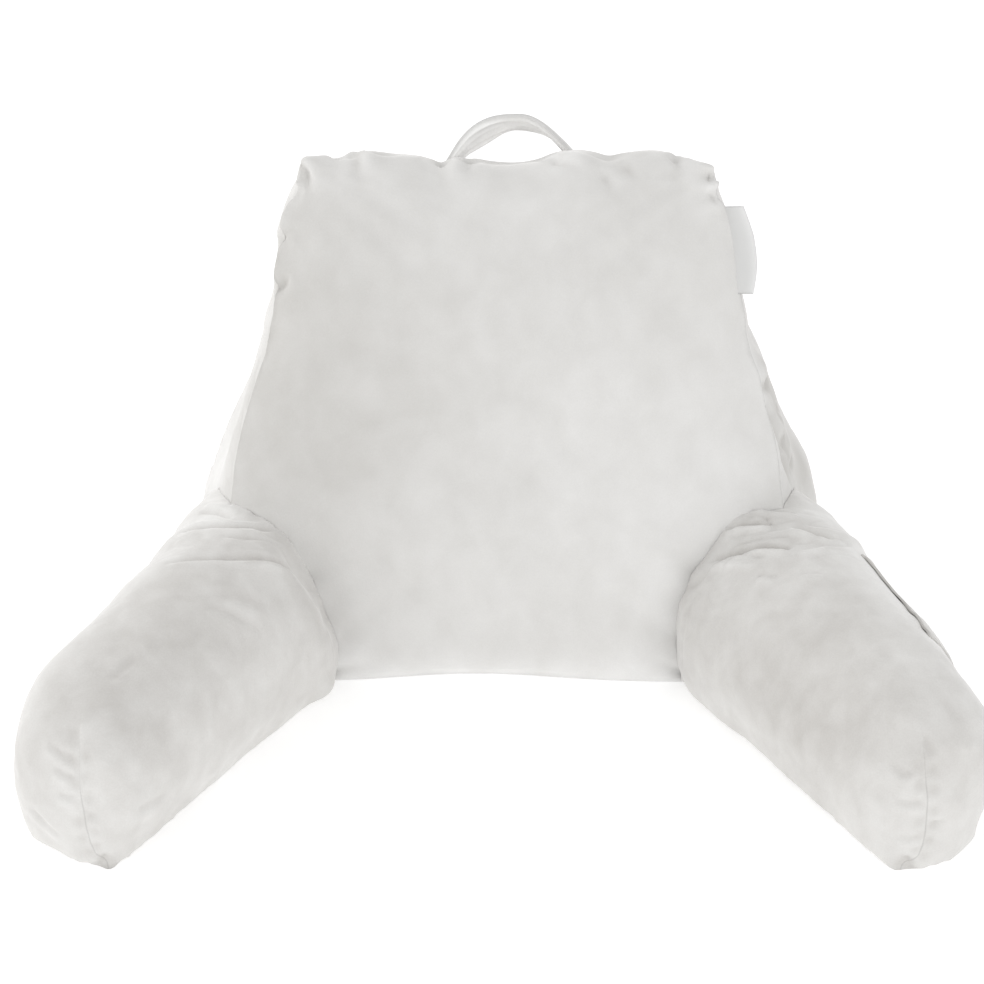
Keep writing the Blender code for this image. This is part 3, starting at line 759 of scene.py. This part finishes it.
def arm_shape(name):
    patches = [(beside_back(name, *place), amount, radius) for place, amount, radius in ARM_PAINTED_LIGHT_AND_NAP[name]]

    def shape_at(point, normal):
        out, forward = abs(point.x), BASE_FRONT.y - point.y
        height = ripples(point, ARM_RIPPLES)
        on_top = clamped(normal.z * 1.6)
        sunk, fold_painted_light_and_shade = folds_at(ROOT_FOLDS[name], out, forward)
        height += sunk * on_top
        # painted light and shade: tone patches, painted shade in the folds and crumples, painted light on
        # the folds' rolls
        painted_light_and_nap_amount = painted_light_and_nap_patches(point, patches) + fold_painted_light_and_shade * on_top
        outwards, forwards, aslant = ROOT_CRUMPLES
        creased = ROOT_CRUMPLE[name] * bell(forward - ROOT_CRUMPLE_MIDDLE, ROOT_CRUMPLE_SPREAD)
        creased *= crumples(out * outwards, forward * forwards + out * aslant)
        height -= CRUMPLE_DEPTH * creased
        painted_light_and_nap_amount -= ROOT_CRUMPLE_SHADE * creased
        at_tip = clamped((forward - TIP_FORWARD) / TIP_EASE)
        if at_tip > 0:
            facing = at_tip * clamped(-normal.y * 1.5)
            sunk, fold_painted_light_and_shade = folds_at(END_FOLDS[name], out, point.z)
            across, share, side = along_line(TIP_SEAM[name], out / INCH, point.z / INCH)
            groove = TIP_SEAM_DEPTH * bell(across, TIP_SEAM_WIDTH)
            gather = 0.5 + 0.5 * math.sin(share * TIP_GATHERS + 2.0 * side)
            gather *= bell(across - TIP_GATHER_MIDDLE, TIP_GATHER_WIDTH)
            pinch = bell(math.dist(TIP_PINCH[name], (out / INCH, point.z / INCH)), TIP_PINCH_WIDTH)
            groove += TIP_GATHER_DEPTH * gather + TIP_PINCH_DEPTH * pinch
            height += facing * (sunk - INCH * groove)
            # painted shade in the end's folds, gathers and pinch, and painted light on the folds' rolls
            painted_light_and_nap_amount += facing * (fold_painted_light_and_shade - TIP_GATHER_SHADE * gather - TIP_PINCH_SHADE * pinch)
        return (height if point.z > ARM_FLAT_BELOW else 0.0), painted_light_and_nap_amount
    return shape_at


def meet(cover, other, reach, draw):
    """Draws the cloth that lies within reach of another cover on to it."""
    surface = surface_of(other)
    for vertex in cover.data.vertices:
        nearest, _, _, distance = surface.find_nearest(vertex.co, 3 * reach)
        if nearest:
            vertex.co = vertex.co.lerp(nearest, draw * bell(distance, reach))


def sewn_to_back(name):
    """The line where the arm's cloth is sewn down on the back."""
    solid = merged(name)
    line = seam_tree(solid, lambda point: back_surface.find_nearest(point)[3] < ROOT_SEAM)
    solid.free()
    return line


def off_tip_seam(name):
    """The distance to the seam down the rounded end; it soon grows where the seam runs out of sight."""
    def distance_at(point):
        across, _, side = along_line(TIP_SEAM[name], abs(point.x) / INCH, point.z / INCH)
        behind = max(0.0, TIP_FORWARD - (BASE_FRONT.y - point.y))
        above = max(0.0, point.z - TIP_LINE_TOP[name])
        return side * across * INCH * (1.0 + behind / SEAM_RUNS_OUT + above / TIP_LINE_RUNS_OUT)
    return distance_at


arm_plush = plush("arm_plush", ARM_PLUSH, mottle=0.17, drift_size=0.075, sheen=0.85, seam_shade=0.22)
arms = {}
for name in ("arm_left", "arm_right"):
    arm = cover_of(name, name + "_cover", ARM_VOXEL)
    stuff(arm, arm_held, ARM_PUFF)
    refine(arm)
    sharpen(arm, (sewn_to_back(name),), ROOT_REACH, ROOT_DRAW, everywhere=True)
    mark_seams(arm, off_tip_seam(name))
    press(arm, arm_shape(name))
    pull(arm, arm_pulls(name))
    meet(arm, back, MEET_REACH, MEET_DRAW)
    dress(arm, arm_plush, name)
    arms[name] = arm

# --- Carry strap ----------------------------------------------------------------------------------
# One band of the same plush, sewn into a flat tube and creased along its length, both ends caught in
# the middle of the top. It stands up as a loop that leans back.
STRAP_MIDDLE = 0.33 * INCH
STRAP_HALF_SPAN = 2.06 * INCH
STRAP_RISE = 1.75 * INCH
STRAP_SUNK = 0.42 * INCH
STRAP_WIDTH = 1.15 * INCH
STRAP_THICKNESS = 0.0042
STRAP_SQUARED = (0.6, 0.8)                          # its section, wide and deep: 1 is an oval, 0 square
STRAP_LEAN = math.radians(36.0)
STRAP_TURNS = ((0.0, -4.0), (0.16, -22.0), (0.30, -34.0), (0.5, -7.0), (0.70, 8.0), (1.0, 16.0))
STRAP_CELLS = (110, 56)                             # along it, and round its flat tube
STRAP_PLUSH = ((0.60, 0.595, 0.585), (0.985, 0.98, 0.97))
STRAP_GATHER = 0.94                                 # the share of its width drawn in at its left end
STRAP_GATHER_REACH = 0.28                           # of its length, from there
STRAP_ARCH = 2.0                                    # below 1 squarer, above 1 more pointed
STRAP_CREASE_DEPTH = 0.9                            # of half its thickness
STRAP_PAINTED_SHADE = -0.42                                # painted shade on its outer face and front edge
STRAP_PAINTED_LIGHT = 0.46                                # painted light on its inner face
STRAP_CREASE_PAINTED_SHADE = 0.30                                # painted shade in that face's creases
LEAN_BACK = Vector((0.0, math.sin(STRAP_LEAN), math.cos(STRAP_LEAN)))
TO_FRONT = Vector((0.0, -math.cos(STRAP_LEAN), math.sin(STRAP_LEAN)))


def strap_turn(share):
    """How far the strap is turned about its own length, eased from row to row of STRAP_TURNS."""
    for (start, before), (end, after) in zip(STRAP_TURNS, STRAP_TURNS[1:]):
        if share <= end:
            eased = 0.5 - 0.5 * math.cos(math.pi * max(0.0, share - start) / (end - start))
            return math.radians(before + (after - before) * eased)
    return math.radians(STRAP_TURNS[-1][1])


def strap_place(share, around):
    """A point of the strap and its painted light and shade: share goes from left to right, 0 to 1,
    and around goes round its section, in radians. Its creases run along it, wander across it, and
    come and go."""
    turn = math.pi * share
    foot = TOP_FRONT - FACE_OUT * TOP_DEPTH / 2 - FACE_UP * STRAP_SUNK + Vector((STRAP_MIDDLE, 0.0, 0.0))
    middle = foot + Vector((-math.cos(turn) * STRAP_HALF_SPAN, 0.0, 0.0))
    middle += LEAN_BACK * STRAP_RISE * math.sin(turn) ** STRAP_ARCH
    tangent = Vector((math.sin(turn), 0.0, 0.0)) + LEAN_BACK * math.cos(turn)
    across = Quaternion(tangent, strap_turn(share)) @ TO_FRONT
    outwards = across.cross(tangent).normalized()
    flat, thick = math.cos(around), math.sin(around)
    wide = math.copysign(abs(flat) ** STRAP_SQUARED[0], flat)
    deep = math.copysign(abs(thick) ** STRAP_SQUARED[1], thick)
    crease = math.sin(13.0 * wide + 7.0 * share) * (0.6 + 0.4 * math.sin(19.0 * share + 3.0 * wide))
    crease *= (1 - wide ** 4) * (1.0 if deep < 0 else 0.2)
    gathered = 1.0 - STRAP_GATHER * bell(share, STRAP_GATHER_REACH)
    middle += outwards * (deep + STRAP_CREASE_DEPTH * crease * abs(deep)) * STRAP_THICKNESS / 2
    # painted shade on the outer face and front edge, painted light on the inner face, painted shade in
    # its creases
    painted_light_and_nap = STRAP_PAINTED_SHADE * max(thick, flat ** 5)
    painted_light_and_nap += max(0.0, -thick) * (STRAP_PAINTED_LIGHT - STRAP_CREASE_PAINTED_SHADE * crease)
    return middle + across * (wide * gathered + 1.0 - gathered) * STRAP_WIDTH / 2, painted_light_and_nap


bpy.ops.object.select_all(action="DESELECT")
bpy.ops.mesh.primitive_grid_add(x_subdivisions=STRAP_CELLS[0], y_subdivisions=STRAP_CELLS[1], size=1.0)
strap = bpy.context.object
strap.name = strap.data.name = "carry_strap"
painted_light_and_nap = strap.data.attributes.new("painted_light_and_nap", "FLOAT", "POINT")
for vertex, value in zip(strap.data.vertices, painted_light_and_nap.data):
    vertex.co, value.value = strap_place(vertex.co.x + 0.5, vertex.co.y * 2 * math.pi)
mesh = bmesh.new()
mesh.from_mesh(strap.data)
bmesh.ops.remove_doubles(mesh, verts=mesh.verts, dist=0.00002)
bmesh.ops.holes_fill(mesh, edges=[edge for edge in mesh.edges if edge.is_boundary], sides=0)
bmesh.ops.recalc_face_normals(mesh, faces=mesh.faces)
mesh.to_mesh(strap.data)
mesh.free()
strap.data.shade_smooth()
strap_plush = plush("strap_plush", STRAP_PLUSH, mottle=0.08, drift_size=0.03, sheen=1.0)
dress(strap, strap_plush, "carry_handle")

# --- Side tag -------------------------------------------------------------------------------------
# A length of plain woven ribbon, folded in half, both cut ends caught in the seam beside the front
# panel. It bows outwards with the stuffing behind it.
TAG_FOOT = 10.65 * INCH
TAG_LENGTH = 2.35 * INCH
TAG_STANDS_OUT = 0.43 * INCH
TAG_IN_SEAM = 0.0016
TAG_BOW = 0.11 * INCH
TAG_LIFT = 0.12 * INCH
TAG_LAYER = 0.00045
TAG_APART = 0.00060                                 # from the fold's middle to each layer's middle
TAG_FOLD_FROM = 0.93                                # the share of the way out where its fold begins
TAG_LEAN = 0.35                                     # forwards for each metre out
TAG_RIPPLE = 0.0006
TAG_SHADED_AND_LIT_TONES = ((0.56, 0.56, 0.55), (0.76, 0.76, 0.755))        # painted shade by the seam, and painted highlight along the fold
RIBS_ACROSS, RIBS_ALONG = 0.00055, 0.00040
WAVE_PERIOD = 0.314                                 # of a wave texture whose scale is 1
TAG_CELLS = (48, 40)                                # along the seam, and out and back
SEAM_OUT = ((10.5, 6.20), (11.4, 6.20), (12.2, 6.10), (13.2, 5.85))     # up the panel, from its middle


def seam_out(up):
    """How far from its middle the front panel's side seam is, at a height up it, in inches."""
    for (low, before), (high, after) in zip(SEAM_OUT, SEAM_OUT[1:]):
        if up <= high:
            return before + (after - before) * (up - low) / (high - low)
    return SEAM_OUT[-1][1]


def tag_place(along, across):
    """A point of the tag: along the seam, 0 to 1 from below, and across the ribbon, -1 to 1 from its
    front end to its rear end."""
    up = TAG_FOOT + TAG_LENGTH * along
    out = 1.0 - abs(across)
    beyond = -TAG_IN_SEAM + (TAG_STANDS_OUT + TAG_IN_SEAM) * out
    bow = 1.0 - (2 * along - 1) ** 2
    root = BASE_FRONT + FACE_UP * up + Vector((seam_out(up / INCH) * INCH, 0.0, 0.0))
    folded = max(0.0, out - TAG_FOLD_FROM) / (1.0 - TAG_FOLD_FROM)
    side = math.copysign(TAG_APART * (1.0 - folded) ** 0.5, -across)
    ripple = TAG_RIPPLE * math.sin(5.0 * along + 1.0) * out
    place = root + Vector((beyond + TAG_BOW * out * bow, 0.0, 0.0))
    return place + FACE_OUT * (TAG_LEAN * beyond + TAG_LIFT * out * along + side + ripple)


def woven_ribbon(name, tones):
    """Close-woven ribbon: fine weft ribs over a faint warp. Its tag_painted_light attribute, painted
    light and shade, moves it from tone to tone.
    """
    material = bpy.data.materials.new(name)
    material.use_nodes = True
    nodes, links = material.node_tree.nodes, material.node_tree.links
    shader = nodes["Principled BSDF"]
    place = nodes.new("ShaderNodeTexCoord")
    weave = add_node(nodes, "Mix", {"Factor": 0.5})
    for socket, direction, size in (("A", "X", RIBS_ACROSS), ("B", "Z", RIBS_ALONG)):
        rib = add_node(nodes, "TexWave", {"Scale": WAVE_PERIOD / size, "Distortion": 0.4},
                       bands_direction=direction)
        links.new(place.outputs["Object"], rib.inputs["Vector"])
        links.new(rib.outputs["Fac"], weave.inputs[socket])
    tag_painted_light = add_node(nodes, "Attribute", {}, attribute_name="tag_painted_light")
    weave_and_painted_light = add_node(nodes, "Math", {1: 0.3}, operation="MULTIPLY_ADD")
    links.new(weave.outputs["Result"], weave_and_painted_light.inputs[0])
    links.new(tag_painted_light.outputs["Fac"], weave_and_painted_light.inputs[2])
    shade = add_node(nodes, "Mix", {"A": (*tones[0], 1.0), "B": (*tones[1], 1.0)}, data_type="RGBA")
    links.new(weave_and_painted_light.outputs["Value"], shade.inputs["Factor"])
    links.new(shade.outputs["Result"], shader.inputs["Base Color"])
    bump = add_node(nodes, "Bump", {"Strength": 0.35, "Distance": 0.0001})
    links.new(weave.outputs["Result"], bump.inputs["Height"])
    links.new(bump.outputs["Normal"], shader.inputs["Normal"])
    set_sockets(shader, {"Roughness": 0.55, "Specular IOR Level": 0.3, "Sheen Weight": 0.15})
    return material


def grid_piece(name, cells, place_at, shade, shade_at, thickness):
    """A thickened sheet, shaped by place_at(u, v), with u and v from 0 to 1. shade names the attribute
    that shade_at(u, v) fills and its material reads."""
    bpy.ops.object.select_all(action="DESELECT")
    bpy.ops.mesh.primitive_grid_add(x_subdivisions=cells[0], y_subdivisions=cells[1], size=1.0)
    piece = bpy.context.object
    piece.name = piece.data.name = name
    values = piece.data.attributes.new(shade, "FLOAT", "POINT").data
    for vertex, value in zip(piece.data.vertices, values):
        u, v = vertex.co.x + 0.5, vertex.co.y + 0.5
        vertex.co, value.value = place_at(u, v), shade_at(u, v)
    cloth = piece.modifiers.new("cloth", "SOLIDIFY")
    cloth.thickness = thickness
    cloth.offset = 0.0
    apply_all(piece)
    piece.data.shade_smooth()
    return piece


def tag_painted_light_at(along, across):
    """Painted light and shade: a painted highlight along the fold, painted shade at its upper end by
    the seam, and a painted shadow along its foot.
    """
    out = 1.0 - abs(across)
    on_fold, by_seam, foot = bell(out - 1.0, 0.28), bell(out, 0.35), bell(along, 0.014)
    return 0.40 + 0.45 * on_fold - 0.30 * along * by_seam - 0.90 * foot


tag = grid_piece("side_tag_ribbon", TAG_CELLS, lambda u, v: tag_place(u, 2 * v - 1),
                 "tag_painted_light", lambda u, v: tag_painted_light_at(u, 2 * v - 1), TAG_LAYER)
tag.data.materials.append(woven_ribbon("tag_ribbon", TAG_SHADED_AND_LIT_TONES))
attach(tag, "root")
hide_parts("side_tag")

# --- Pocket ---------------------------------------------------------------------------------------
# A patch of the same plush on the outer side of one arm, sewn down on three sides. Its mouth, along
# the top, has a turned hem and gapes a little.
POCKET_REAR = Vector((0.2330, -0.0830, 0.0))
POCKET_FRONT = Vector((0.2900, -0.2040, 0.0))
POCKET_OUT = Vector((0.904, 0.428, 0.0))
POCKET_INSIDE = 0.052                               # from its plan line in to the arm's core
POCKET_CORE = 0.050                                 # that core's height
POCKET_MOUTH = math.radians(50.0)
POCKET_FOOT = math.radians(-46.0)
POCKET_MOUTH_ENDS = (0.14, 0.80)
POCKET_CLOTH = 0.0015
POCKET_SAG = math.radians(5.0)                      # of its mouth, in the middle
POCKET_SLACK = 0.0008
POCKET_GAPE = 0.0002
POCKET_GAPES_FROM = 0.94                            # a share of the way up, as is the hem's below it
POCKET_HEM = 0.12
POCKET_HEM_HEIGHT = 0.0005
POCKET_SEWN_EDGE = 0.05
POCKET_CELLS = (70, 56)

arm_surface = surface_of(arms["arm_right"])


def pocket_place(along, up):
    """A point of the patch: along the arm, 0 to 1 from the rear, and up from the sole to the mouth."""
    start, end = POCKET_MOUTH_ENDS
    along_here = along + up * (start + (end - start) * along - along)
    core = POCKET_REAR.lerp(POCKET_FRONT, along_here) - POCKET_OUT * POCKET_INSIDE
    core.z = POCKET_CORE
    sag = POCKET_SAG * math.sin(math.pi * along)
    angle = POCKET_FOOT + (POCKET_MOUTH - sag - POCKET_FOOT) * up
    ray = POCKET_OUT * math.cos(angle) + Vector((0.0, 0.0, math.sin(angle)))
    hit = arm_surface.ray_cast(core, ray)[0]
    ends = min(1.0, along / POCKET_SEWN_EDGE, (1.0 - along) / POCKET_SEWN_EDGE, up / POCKET_SEWN_EDGE)
    slack = math.sin(math.pi * along) ** 0.8
    height = POCKET_CLOTH * (0.1 + 0.5 * ends) + POCKET_SLACK * slack * math.sin(math.pi * up)
    height += POCKET_GAPE * slack * max(0.0, (up - POCKET_GAPES_FROM) / (1.0 - POCKET_GAPES_FROM))
    height += 0.0004 * noise.noise(Vector((along * 9.0, up * 7.0, 0.0)))
    hem = (1.0 - up) / POCKET_HEM
    height += POCKET_HEM_HEIGHT * bell(hem - 0.45, 0.4) - POCKET_HEM_HEIGHT * bell(hem - 1.0, 0.12)
    place = hit + ray * height
    place.z = max(place.z, POCKET_CLOTH / 2)
    return place


def pocket_rim_painted_shade(along, up):
    """Painted shade along the hem's rim, at the mouth."""
    return -0.3 * bell(1.0 - up, 0.022)


pocket = grid_piece("pocket_patch", POCKET_CELLS, pocket_place, "painted_light_and_nap", pocket_rim_painted_shade, POCKET_CLOTH)
pocket.data.materials.append(arm_plush)
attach(pocket, "root")
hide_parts("arm_pocket")

# --- Studio ---------------------------------------------------------------------------------------
# A white floor that glows a little under a white sky, so that the pillow stands on plain white with
# only a soft shadow. Four softboxes: to the right, to the left, beside it and behind it.
bpy.ops.object.select_all(action="DESELECT")
bpy.ops.mesh.primitive_plane_add(size=60.0)
floor = bpy.context.object
floor.name = "floor"
floor_white = bpy.data.materials.new("floor_white")
floor_white.use_nodes = True
set_sockets(floor_white.node_tree.nodes["Principled BSDF"], {
    "Base Color": (0.85, 0.85, 0.85, 1.0), "Roughness": 0.9, "Specular IOR Level": 0.0,
    "Emission Color": (1.0, 1.0, 1.0, 1.0), "Emission Strength": 0.35})
floor.data.materials.append(floor_white)

sky = bpy.data.worlds.new("studio")
bpy.context.scene.world = sky
sky.use_nodes = True
set_sockets(sky.node_tree.nodes["Background"], {"Color": (1.0, 1.0, 1.0, 1.0), "Strength": 0.66})


def softbox(name, place, aim, size, power):
    bpy.ops.object.light_add(type="AREA", location=place)
    lamp = bpy.context.object
    lamp.name = name
    lamp.data.shape = "SQUARE"
    lamp.data.size = size
    lamp.data.energy = power
    lamp.rotation_euler = (Vector(aim) - Vector(place)).to_track_quat("-Z", "Y").to_euler()


softbox("right", (1.5, -1.8, 1.3), (0.05, 0.0, 0.15), size=1.2, power=14.0)
softbox("left", (-1.6, -1.4, 1.0), (-0.1, 0.0, 0.15), size=1.2, power=8.0)
softbox("left_side", (-1.7, 0.5, 0.7), (-0.2, 0.0, 0.15), size=1.0, power=9.0)
softbox("behind", (-0.2, 1.6, 1.9), (0.0, 0.0, 0.15), size=1.4, power=10.0)
bpy.context.scene.view_settings.view_transform = "Standard"
